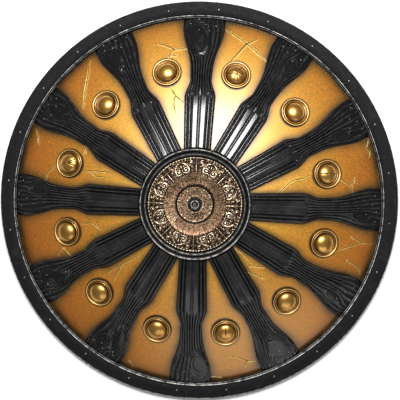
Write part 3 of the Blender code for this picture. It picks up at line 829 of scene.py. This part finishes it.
def spoke_nail_places():
    """Pins on the carved face, each pressed in along the dish's own normal."""
    draw = random.Random(7)
    places = []
    for number in range(1, SPOKE_COUNT + 1):
        rings, _ = spoke_rings(number)
        for share, across in SPOKE_NAIL_PLACES:
            share = min(share + draw.uniform(-0.02, 0.02), 0.985)
            across = across + draw.uniform(-0.08, 0.08)
            ring = rings[round(share * SPOKE_LENGTH_STEPS)]
            x, y, z = ring[1 + round((1 - across) / 2 * SPOKE_WIDTH_STEPS)]
            facing = Vector((x, y, z - SPHERE_CENTRE_Z)).normalized()
            places.append(((x, y, z), tuple(facing)))
    return places


pin_places = spoke_nail_places()
spoke_pins = nail_heads("spoke_pins", pin_places, SPOKE_NAIL_RADIUS, NAIL_HEAD_HEIGHT, 5, nail_steel)
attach(spoke_pins, "root")


# The collar. A ring turned from one block, with two beads and a groove between them, lacquered black like
# the spokes, whose inner ends butt against it. Pale lines along both beads are painted highlights, drawn as
# the black rubbed thin.
MEDALLION_RADIUS = 0.0704
COLLAR_INNER_RADIUS = 0.0707 / math.cos(math.pi / 40)
COLLAR_OUTER_RADIUS = COLLAR_INNER_RADIUS + 0.0125
COLLAR_FOOT = SEAT_FRONT + FIT_GAP
COLLAR_STEPS = 240
# Pale lines along both beads: painted highlights drawn as the black rubbed thin.
COLLAR_WORN_AND_LIT_REACH = 0.0006
COLLAR_WORN_AND_LIT_LINES = (
    (COLLAR_INNER_RADIUS + 0.0027, COLLAR_FOOT + 0.0115, 0.35),
    (COLLAR_OUTER_RADIUS - 0.0026, COLLAR_FOOT + 0.0097, 0.8),
)


def collar_profile():
    """The collar's section, from its foot inside, over both beads, to its foot outside."""
    inner, outer, foot = COLLAR_INNER_RADIUS, COLLAR_OUTER_RADIUS, COLLAR_FOOT
    return [
        (inner, foot), (inner, foot + 0.0078),
        *arc((inner + 0.0031, foot + 0.0085), 0.0030, 190, -20, 18),
        (inner + 0.0063, foot + 0.0068),
        *arc((outer - 0.0033, foot + 0.0067), 0.0031, 190, 0, 18),
        (outer, foot + 0.0060), (outer, foot),
    ]


collar = turned_piece("collar_turned", collar_profile(), COLLAR_STEPS)
rub_and_highlight_lines(collar, COLLAR_WORN_AND_LIT_LINES, COLLAR_WORN_AND_LIT_REACH)
collar.data.materials.append(black_with_pale_lines_material("collar_lacquer", (0.74, 0.69, 0.60), 0.16))
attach(collar, "root")
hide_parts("collar")


# The medallion. A plate cast in bronze and chased: a band of arches and paired scrolls that falls outwards,
# a hollow band of blocks, a groove, and a stippled disc. The recesses were blacked; the crests are pale,
# partly rubbed back to copper and partly painted highlight.
MEDALLION_FOOT = SEAT_FRONT + FIT_GAP
MEDALLION_STEPS = 720
CREST_RADIUS = 0.0455
DISC_RADIUS = 0.0262
GROOVE_END = 0.0288
DISC_HEIGHT = 0.0072
FIELD_COUNT = 8
BLOCK_COUNT = 32
# Raised ovals in half a field, in millimetres: places outwards and to the side, height as a share, half
# length, half width, and the tilt where there is one
MOUNDS = (
    (58.6, 0, 1, 2.8, 1.3), (58.0, 3.6, 0.8, 2.2, 0.8, 0.5), (47.6, 0, 1, 1.2, 1.2),
    (66.6, 0, 1, 1.5, 1.5), (66.0, 19.4, 1.0, 1.9, 0.9, 0.15), (54.2, 15.2, 0.9, 2.8, 0.9, 0.25),
    (65.8, 9.8, 1.0, 1.5, 1.1), (49.4, 14.0, 1.0, 1.3, 1.0), (66.4, 5.0, 0.8, 0.9, 0.9),
)


def ridge(distance, half_width):
    """A rounded rise across a line: 1 on it and 0 from half_width away."""
    return np.sqrt(np.clip(1 - (distance / half_width) ** 2, 0, 1))


def mound(u, v, half_length, half_width, tilt=0.0):
    """A rounded oval rise at u and v from its middle, turned by tilt."""
    c, s = math.cos(tilt), math.sin(tilt)
    along, across = (u * c + v * s) / half_length, (v * c - u * s) / half_width
    return np.clip(1 - along**2 - across**2, 0, 1) ** 0.6


def volute(along, across, middle, hand):
    """A scroll of two turns that unwinds from its eye."""
    u, v = along - middle[0], (across - middle[1]) * hand
    out = np.hypot(u, v)
    turn = (np.arctan2(v, u) / math.tau) % 1.0
    pitch = 3.1
    band = np.abs((out - pitch * turn) % pitch - pitch / 2)
    coil = ridge(pitch / 2 - band, 0.78) * (out < 5.5)
    return np.maximum(coil, ridge(out, 1.2))


def filigree(along, side):
    """Fine raised tendrils that curl over the ground between the larger shapes."""
    draw = random.Random(61)
    curls, finer = value_field(draw, 12, 12), value_field(draw, 18, 18)
    down, over = (along - 44) / 28, side / 26
    drift = curls(over, down)
    tendrils = ridge(curls(down + 0.05 * finer(over, down), over), 0.20)
    buds = np.clip(finer(down, over + 0.03 * drift) - 0.25, 0.0, 0.5) * 2
    return np.maximum(0.46 * tendrils, 0.38 * buds)


def scroll_field(radius, bearing):
    """Relief of the scroll band, 0 to 1, worked out in millimetres on one field."""
    field = math.tau / FIELD_COUNT
    turn = bearing % field - field / 2
    along, across = 1000 * radius * np.cos(turn), 1000 * radius * np.sin(turn)
    side = np.abs(across)
    bar = ridge(1000 * radius * np.sin(field / 2 - np.abs(turn)), 0.8)
    outer_share = np.clip((along - 51.5) / 13.0, 0, 1)
    inner_share = np.clip((51.5 - along) / 6.5, 0, 1)
    arch_half = 10.6 * np.sqrt(1 - outer_share**2) * (1 - 0.35 * inner_share**2)
    slope = 1 + 1.6 * outer_share**3
    arch = ridge((side - arch_half) / slope, 0.8) * (along < 64.8)
    inner_arch = ridge((side - arch_half + 2.0) / slope, 0.6) * (along < 62.4) * (along > 52)
    outer_scroll = volute(along, side, (61.0, 15.6), -1) * (np.hypot(along - 61.0, side - 15.6) < 3.4)
    parts = [0.85 * bar, 0.85 * arch, 0.5 * inner_arch, volute(along, side, (52.6, 5.7), 1)]
    parts += [0.8 * outer_scroll, filigree(along, side)]
    parts += [height * mound(along - x, side - y, *shape) for x, y, height, *shape in MOUNDS]
    return np.maximum.reduce(parts)


def medallion_surface(radius, bearing, draw):
    """Height over the foot, and the share of relief that the finish reads."""
    fall = np.clip((radius - CREST_RADIUS) / (MEDALLION_RADIUS - CREST_RADIUS), 0, 1)
    rise = np.clip((radius - GROOVE_END) / (CREST_RADIUS - GROOVE_END), 0, 1)
    outer_base = 0.0100 - 0.0030 * fall**2
    inner_base = 0.0070 + 0.0030 * rise**2.8
    scroll = scroll_field(radius, bearing) * ramp_up(0.0700, 0.0690, radius)
    pearls = ridge(1000 * (radius - 0.0689), 0.9) * (0.45 + 0.55 * np.abs(np.cos(48 * bearing)))
    rope = ridge(1000 * (radius - CREST_RADIUS), 0.8) * (0.6 + 0.3 * np.cos(72 * bearing))
    scroll = np.maximum(np.maximum(scroll, pearls), rope)
    outer = outer_base - 0.0008 + 0.0019 * scroll
    step = (bearing * BLOCK_COUNT / math.tau) % 1.0
    levels = np.array([draw.uniform(0.45, 1.0) for _ in range(BLOCK_COUNT)])
    level = levels[np.floor(bearing * BLOCK_COUNT / math.tau).astype(int) % BLOCK_COUNT]
    blocks = ridge(step - 0.5, 0.5) ** 0.35 * level * ramp_up(0.02, 0.12, rise) * ramp_up(1.0, 0.9, rise)
    pitting = value_field(draw, 60, 400)(rise, bearing / math.tau)
    inner = inner_base - 0.0005 + 0.0005 * blocks + 0.00028 * pitting
    stipple = value_field(draw, 90, 400)(radius / DISC_RADIUS, bearing / math.tau)
    disc_rings = 0.5 * ridge(1000 * (radius - 0.0254), 0.7) + 0.7 * ridge(1000 * (radius - 0.0122), 0.9)
    disc = DISC_HEIGHT - 0.0004 + 0.00045 * np.clip(stipple, -0.4, 1.0) + 0.0006 * disc_rings
    groove = DISC_HEIGHT - 0.0016 * ridge(1000 * (radius - 0.0275), 1.3)
    # The hollow band grows paler up to its outer lip: painted highlight.
    inner_relief = 0.27 + 0.16 * blocks + 0.22 * pitting + 0.15 * ramp_up(0.60, 1.0, rise)
    disc_relief = 0.35 + 0.5 * np.clip(stipple, -0.5, 1.0) + 0.3 * disc_rings
    zones = [radius < DISC_RADIUS, radius < GROOVE_END, radius < CREST_RADIUS]
    relief = np.select(zones, [disc_relief, 0.0, inner_relief], scroll)
    return np.select(zones, [disc, groove, inner], outer), np.clip(relief, 0, 1)


def make_medallion():
    """Rings of the chased face from its edge inwards, over one ring for the edge of the flat foot."""
    radii = np.concatenate((np.linspace(MEDALLION_RADIUS, 0.0262, 98), np.linspace(0.0258, 0.006, 28)))
    turns = math.tau * np.arange(MEDALLION_STEPS) / MEDALLION_STEPS
    radius, bearing = np.meshgrid(radii, turns, indexing="ij")
    height, relief = medallion_surface(radius, bearing, random.Random(23))
    rings = np.stack((radius * np.sin(bearing), radius * np.cos(bearing), MEDALLION_FOOT + height), axis=-1)
    foot = rings[0] * (1, 1, 0) + (0, 0, MEDALLION_FOOT)
    piece = lofted_piece("medallion_chased", [foot, *rings], 70, fanned=False)
    vertex_value(piece, "relief", np.concatenate((np.zeros(MEDALLION_STEPS), relief.ravel())))
    return piece


def copper_bronze_material():
    """Bronze, black in the recesses, pale on the crests as rubbing and painted highlight, and finely pitted.
    """
    f = Finish("copper_bronze", (0.28, 0.15, 0.08), 0.85, 0.42)
    relief = f.vertex("relief")
    clouds = f.remap(f.noise(45, 4, 0.6), 0.35, 0.65)
    bronze = f.mix(clouds, (0.205, 0.105, 0.058), (0.33, 0.215, 0.120))
    colour = f.mix(f.remap(relief, 0.20, 0.58), (0.008, 0.005, 0.004), bronze)
    # Pale crests: partly rubbed back to copper, partly painted highlight.
    colour = f.mix(f.remap(relief, 0.55, 0.92), colour, (0.82, 0.70, 0.50))
    grit = f.noise(430, 2, 0.8)
    f.feed("Base Color", f.shade(colour, f.remap(grit, 0.38, 0.62, 0.25, 1.65)))
    polish = f.remap(relief, 0, 1, 0.52, 0.32)
    f.feed("Roughness", f.plus(polish, f.remap(grit, 0.3, 0.7, -0.05, 0.08)))
    f.bump(grit, 0.6, 0.0005)
    return f.material


medallion = make_medallion()
medallion.data.materials.append(copper_bronze_material())
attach(medallion, "root")
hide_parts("medallion")


# The centre bolt. A low turned head of blackened iron holds the medallion down. Its raised lip is worn to a
# bright ring, round a small bead in the middle.
BOLT_RADIUS = 0.0102
BOLT_RING_RADIUS = 0.0056
BOLT_RING_HALF_WIDTH = 0.0007
BOLT_FOOT = MEDALLION_FOOT + DISC_HEIGHT + FIT_GAP
BOLT_HEIGHT = 0.0036
BOLT_STEPS = 96
BOLT_WORN_REACH = 0.0009
BOLT_WORN_LINES = (
    (BOLT_RING_RADIUS, BOLT_FOOT + BOLT_HEIGHT, 0.85),
    (0.0018, BOLT_FOOT + 0.0023, 0.3),
)


def bolt_profile():
    foot, half_width = BOLT_FOOT, BOLT_RING_HALF_WIDTH
    return [
        (0.0, foot), (BOLT_RADIUS, foot), (BOLT_RADIUS, foot + 0.0008),
        *arc((BOLT_RADIUS - 0.0012, foot + 0.0010), 0.0012, 0, 80, 5),
        (0.0076, foot + 0.0023), (0.0066, foot + 0.0024),
        *arc((BOLT_RING_RADIUS, foot + BOLT_HEIGHT - half_width), half_width, -10, 190, 8),
        (0.0044, foot + 0.0022), (0.0030, foot + 0.0017),
        *arc((0.0018, foot + 0.0017), 0.0006, 0, 180, 6),
        (0.0010, foot + 0.0014), (0.0, foot + 0.0014),
    ]


bolt = turned_piece("centre_bolt_turned", bolt_profile(), BOLT_STEPS)
rub_and_highlight_lines(bolt, BOLT_WORN_LINES, BOLT_WORN_REACH)
bolt.data.materials.append(blackened_iron)
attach(bolt, "root")
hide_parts("centre_bolt")


# The studs. Each of the twelve is pressed from brass sheet and gilt: a polished dome in a dark groove, with
# a fine raised ring and a dark edge round it. The dark at the dome's foot and on the edge is painted shade,
# the groove's dark is partly wax and partly painted shade, and the raised ring carries a painted highlight.
# They stand square to the dish, between the spokes.
STUD_DOME_RADIUS = 0.0154
STUD_DOME_HEIGHT = 0.0102
STUD_STEPS = 96
STUD_SPLIT_DEPTH = 0.0005
STUD_SLOPE = math.asin(STUD_CIRCLE_RADIUS / SPHERE_RADIUS)
# Degrees round the dome at which each cracked stud is split, from its crown
STUD_SPLITS = {1: (24, 73, 118, 150, 184, 253, 328), 3: (11, 191), 6: (193,), 10: (133, 158, 185, 323)}


def stud_profile():
    edge = STUD_RADIUS
    rise = STUD_DOME_HEIGHT - 0.0012
    turns = np.radians(np.linspace(3, 90, 19)[:-1])
    return [
        (0.0, 0.0), (edge, 0.0), (edge, 0.0006), (edge - 0.0005, 0.0012),
        *arc((edge - 0.0016, 0.0019), 0.0011, -10, 190, 9),
        (edge - 0.0032, 0.0012), (edge - 0.0038, 0.0011),
        *arc((STUD_DOME_RADIUS + 0.0012, 0.0012), 0.0010, 0, 170, 8),
        *((STUD_DOME_RADIUS * math.cos(turn), 0.0012 + rise * math.sin(turn)) for turn in turns),
        (0.0, STUD_DOME_HEIGHT),
    ]


def gilt_brass_material():
    """Antique gold on brass, dark in the grooves and along the edge, partly wax and partly painted shade,
    with a painted highlight on the ring.
    """
    f = Finish("gilt_brass", (0.55, 0.27, 0.07), 0.95, 0.36)
    gleam = f.vertex("gleam")
    clouds = f.noise(70, 4, 0.6)
    gold = f.mix(f.remap(clouds, 0.35, 0.68), (0.66, 0.36, 0.075), (0.42, 0.185, 0.036))
    uneven = f.remap(f.noise(120, 3), 0.3, 0.7, 0.8, 1.1)
    waxed_and_shaded = f.times(f.vertex("wax_and_shade"), uneven)
    # A pale band on the raised ring: painted highlight.
    gold = f.mix(gleam, gold, (0.88, 0.58, 0.20))
    f.feed("Base Color", f.mix(waxed_and_shaded, gold, (0.024, 0.011, 0.005)))
    worn = f.times(f.plus(waxed_and_shaded, gleam), 0.22)
    f.feed("Roughness", f.plus(f.remap(clouds, 0.3, 0.7, 0.27, 0.37), worn))
    f.feed("Coat Weight", 0.5)
    f.feed("Coat Roughness", 0.16)
    f.bump(f.noise(260, 3), 0.10, 0.0004)
    return f.material


def band(value, start, full, last_full, end):
    """0 up to start and past end, and 1 from full to last_full."""
    return ramp_up(start, full, value) * ramp_up(end, last_full, value)


def make_stud(number):
    """A stud turned upright, split if it is a cracked one, then set square to the dish."""
    piece = turned_piece(f"stud_domed_{number:02d}", stud_profile(), STUD_STEPS)
    x, y, _ = vertex_places(piece).T
    reach, bearing = np.hypot(x, y), np.arctan2(x, y)
    split = np.zeros(len(reach))
    for turn in STUD_SPLITS.get(number, ()):
        apart = bearing - math.radians(turn)
        line = ramp_up(0.0009, 0.0002, reach * np.abs(np.sin(apart))) * (np.cos(apart) > 0)
        split = np.maximum(split, line * band(reach, 0.0002, 0.0010, 0.0135, 0.0150))
    # Dark at the dome's foot and the outer edge: painted shade; in the groove and on the inner ring partly
    # wax, partly painted shade; dark along the splits.
    groove = 0.95 * band(reach, 0.0172, 0.0177, 0.0187, 0.0191)
    dome_foot_shade = 0.95 * band(reach, 0.0118, 0.0154, 0.0158, 0.0163)
    inner_ring = 0.3 * band(reach, 0.0158, 0.0163, 0.0172, 0.0177)
    edge = ramp_up(0.0204, 0.0209, reach)
    vertex_value(piece, "wax_and_shade", np.maximum.reduce((groove, dome_foot_shade, inner_ring, edge, split)))
    # The pale band on the raised ring: painted highlight.
    vertex_value(piece, "gleam", band(reach, 0.0189, 0.0194, 0.0202, 0.0207))
    for vertex, depth in zip(piece.data.vertices, STUD_SPLIT_DEPTH * split):
        vertex.co.z -= depth
    turn = Matrix.Rotation(-math.tau * (number - 0.5) / STUD_COUNT, 4, "Z")
    tilt = turn @ Matrix.Rotation(-STUD_SLOPE, 4, "X")
    seat = Vector((0, 0, SPHERE_CENTRE_Z)) + tilt @ Vector((0, 0, SPHERE_RADIUS + FIT_GAP))
    piece.data.transform(Matrix.Translation(seat) @ tilt)
    return piece


gilt_brass = gilt_brass_material()
for stud_number in range(1, STUD_COUNT + 1):
    stud = make_stud(stud_number)
    stud.data.materials.append(gilt_brass)
    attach(stud, "root")
    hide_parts(f"stud_{stud_number:02d}")


# The grip. One length of ash crosses the hollow back: its two feet are shaped to the dish and screwed to
# it, and it is thinned between them and rounded in the middle for the hand.
GRIP_HALF_LENGTH = 0.205
GRIP_FOOT_INNER = GRIP_HALF_LENGTH - 0.042
GRIP_FOOT_WIDTH = 0.040
GRIP_FOOT_THICKNESS = 0.016
GRIP_HANDLE_TOP = float(back_z(0.0)) - 0.034
GRIP_STATIONS = 150
GRIP_AROUND = 40
SCREW_RADIUS = 0.0032
SCREW_HEAD_HEIGHT = 0.0012


def foot_top(along):
    """Height of the grip's foot where it bears on the hollow back."""
    return float(back_z(math.hypot(along, GRIP_FOOT_WIDTH / 2))) - FIT_GAP


FOOT_INNER_TOP = foot_top(GRIP_FOOT_INNER)
FOOT_OUTER_TOP = foot_top(GRIP_HALF_LENGTH)
# Along half the grip, from the middle: place, underside, top, width
GRIP_TABLE = np.array((
    (0.0, GRIP_HANDLE_TOP - 0.022, GRIP_HANDLE_TOP, 0.030),
    (0.030, GRIP_HANDLE_TOP - 0.022, GRIP_HANDLE_TOP, 0.030),
    (0.060, GRIP_HANDLE_TOP - 0.0215, GRIP_HANDLE_TOP, 0.027),
    (0.0945, GRIP_HANDLE_TOP - 0.0200, GRIP_HANDLE_TOP, 0.034),
    (0.129, GRIP_HANDLE_TOP - 0.0200, GRIP_HANDLE_TOP, 0.034),
    (GRIP_FOOT_INNER, FOOT_INNER_TOP - GRIP_FOOT_THICKNESS * 1.6, FOOT_INNER_TOP, GRIP_FOOT_WIDTH),
    (GRIP_HALF_LENGTH, FOOT_OUTER_TOP - GRIP_FOOT_THICKNESS, FOOT_OUTER_TOP, GRIP_FOOT_WIDTH),
))


def grip_section(along):
    """Underside, top and width of the grip at a distance from its middle."""
    return [float(np.interp(along, GRIP_TABLE[:, 0], GRIP_TABLE[:, column])) for column in (1, 2, 3)]


def make_grip():
    """Rounded sections along the grip, squarer towards its feet."""
    rings = []
    turns = math.tau * np.arange(GRIP_AROUND) / GRIP_AROUND
    c, s = np.cos(turns), np.sin(turns)
    for along in np.linspace(-GRIP_HALF_LENGTH, GRIP_HALF_LENGTH, GRIP_STATIONS + 1):
        low, top, width = grip_section(abs(along))
        squareness = 2.6 + 3.4 * float(ramp_up(0.06, 0.11, abs(along)))
        y = np.sign(c) * np.abs(c) ** (2 / squareness) * width / 2
        z = (low + top) / 2 + np.sign(s) * np.abs(s) ** (2 / squareness) * (top - low) / 2
        rings.append(np.column_stack((np.full(GRIP_AROUND, along), y, z)))
    return lofted_piece("grip_shaped", rings, 55)


def ash_material():
    """Oiled ash with its grain along the grip, darker where the hand has held it."""
    f = Finish("ash_wood", (0.42, 0.27, 0.15), 0.0, 0.5)
    share, fibre = wood_grain(f, f.place(), (2.2, 46, 46), (25, 900, 900), 0.9, 30, 0.6)
    wood = f.mix(share, (0.47, 0.31, 0.17), (0.24, 0.13, 0.06))
    from_middle = f.maths("ABSOLUTE", f.node("SeparateXYZ", {0: f.place()}))
    handled = f.remap(from_middle, 0.075, 0.035, 0.0, 0.55)
    f.feed("Base Color", f.mix(handled, wood, (0.17, 0.09, 0.045)))
    f.feed("Roughness", f.remap(handled, 0.0, 0.55, 0.58, 0.40))
    f.bump(fibre, 0.25, 0.0004)
    return f.material


grip = make_grip()
grip.data.materials.append(ash_material())
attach(grip, "root")
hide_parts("grip")

grip_screw_places = [
    ((side * along, across, grip_section(along)[0]), (0.0, 0.0, -1.0))
    for along in (0.174, 0.194) for side in (-1, 1) for across in (-0.009, 0.009)
]
grip_screws = nail_heads("grip_screws", grip_screw_places, SCREW_RADIUS, SCREW_HEAD_HEIGHT, 9, nail_steel)
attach(grip_screws, "root")


# The stage: a pale floor, one large softbox over the top of the shield, a weaker one beyond the bottom, and
# a camera that looks almost straight down, from a little towards the top and to the right.
ROLL = math.radians(2.3)
IMAGE_UP = Vector((-math.sin(ROLL), math.cos(ROLL), 0.0))
IMAGE_RIGHT = Vector((math.cos(ROLL), math.sin(ROLL), 0.0))
CAMERA_DISTANCE = 1.8
CAMERA_TILT = math.radians(4.4)
CAMERA_LENS = 105.7
LOOK_AT = IMAGE_UP * 0.0027 + IMAGE_RIGHT * 0.0036 + Vector((0.0, 0.0, 0.011))

floor_mesh = bpy.data.meshes.new("floor")
floor_mesh.from_pydata([(-4, -4, 0), (4, -4, 0), (4, 4, 0), (-4, 4, 0)], [], [(0, 1, 2, 3)])
floor = link_object("floor", floor_mesh)
floor.data.materials.append(Finish("floor_paint", (0.9, 0.9, 0.9), 0.0, 0.8).material)


def aim(thing, place, target, upward):
    """Put a camera or light at a place, facing the target, with a chosen direction up."""
    back = (place - target).normalized()
    up = (upward - back * upward.dot(back)).normalized()
    turn = Matrix((up.cross(back), up, back)).transposed().to_4x4()
    thing.matrix_world = Matrix.Translation(place) @ turn


def softbox(name, up, right, height, width, length, power):
    """A rectangular light that faces the shield, placed by the directions of the image."""
    lamp = bpy.data.lights.new(name, "AREA")
    lamp.shape, lamp.size, lamp.size_y, lamp.energy = "RECTANGLE", width, length, power
    place = IMAGE_UP * up + IMAGE_RIGHT * right + Vector((0, 0, height))
    aim(link_object(name, lamp), place, LOOK_AT, IMAGE_UP)


softbox("key_softbox", 0.78, 0.07, 1.75, 0.95, 0.70, 62)
softbox("low_softbox", -2.0, 0.5, 1.35, 2.4, 1.5, 14)

sky = bpy.data.worlds.new("studio")
sky.use_nodes = True
backdrop = sky.node_tree.nodes["Background"].inputs
backdrop["Color"].default_value = (1, 1, 1, 1)
backdrop["Strength"].default_value = 0.18
bpy.context.scene.world = sky

camera_data = bpy.data.cameras.new("camera")
camera_data.lens = CAMERA_LENS
camera = link_object("camera", camera_data)
sideways = (IMAGE_UP + IMAGE_RIGHT).normalized() * math.sin(CAMERA_TILT)
camera_place = LOOK_AT + CAMERA_DISTANCE * (sideways + Vector((0, 0, math.cos(CAMERA_TILT))))
aim(camera, camera_place, LOOK_AT, IMAGE_UP)
bpy.context.scene.camera = camera
bpy.context.scene.view_settings.view_transform = "Standard"
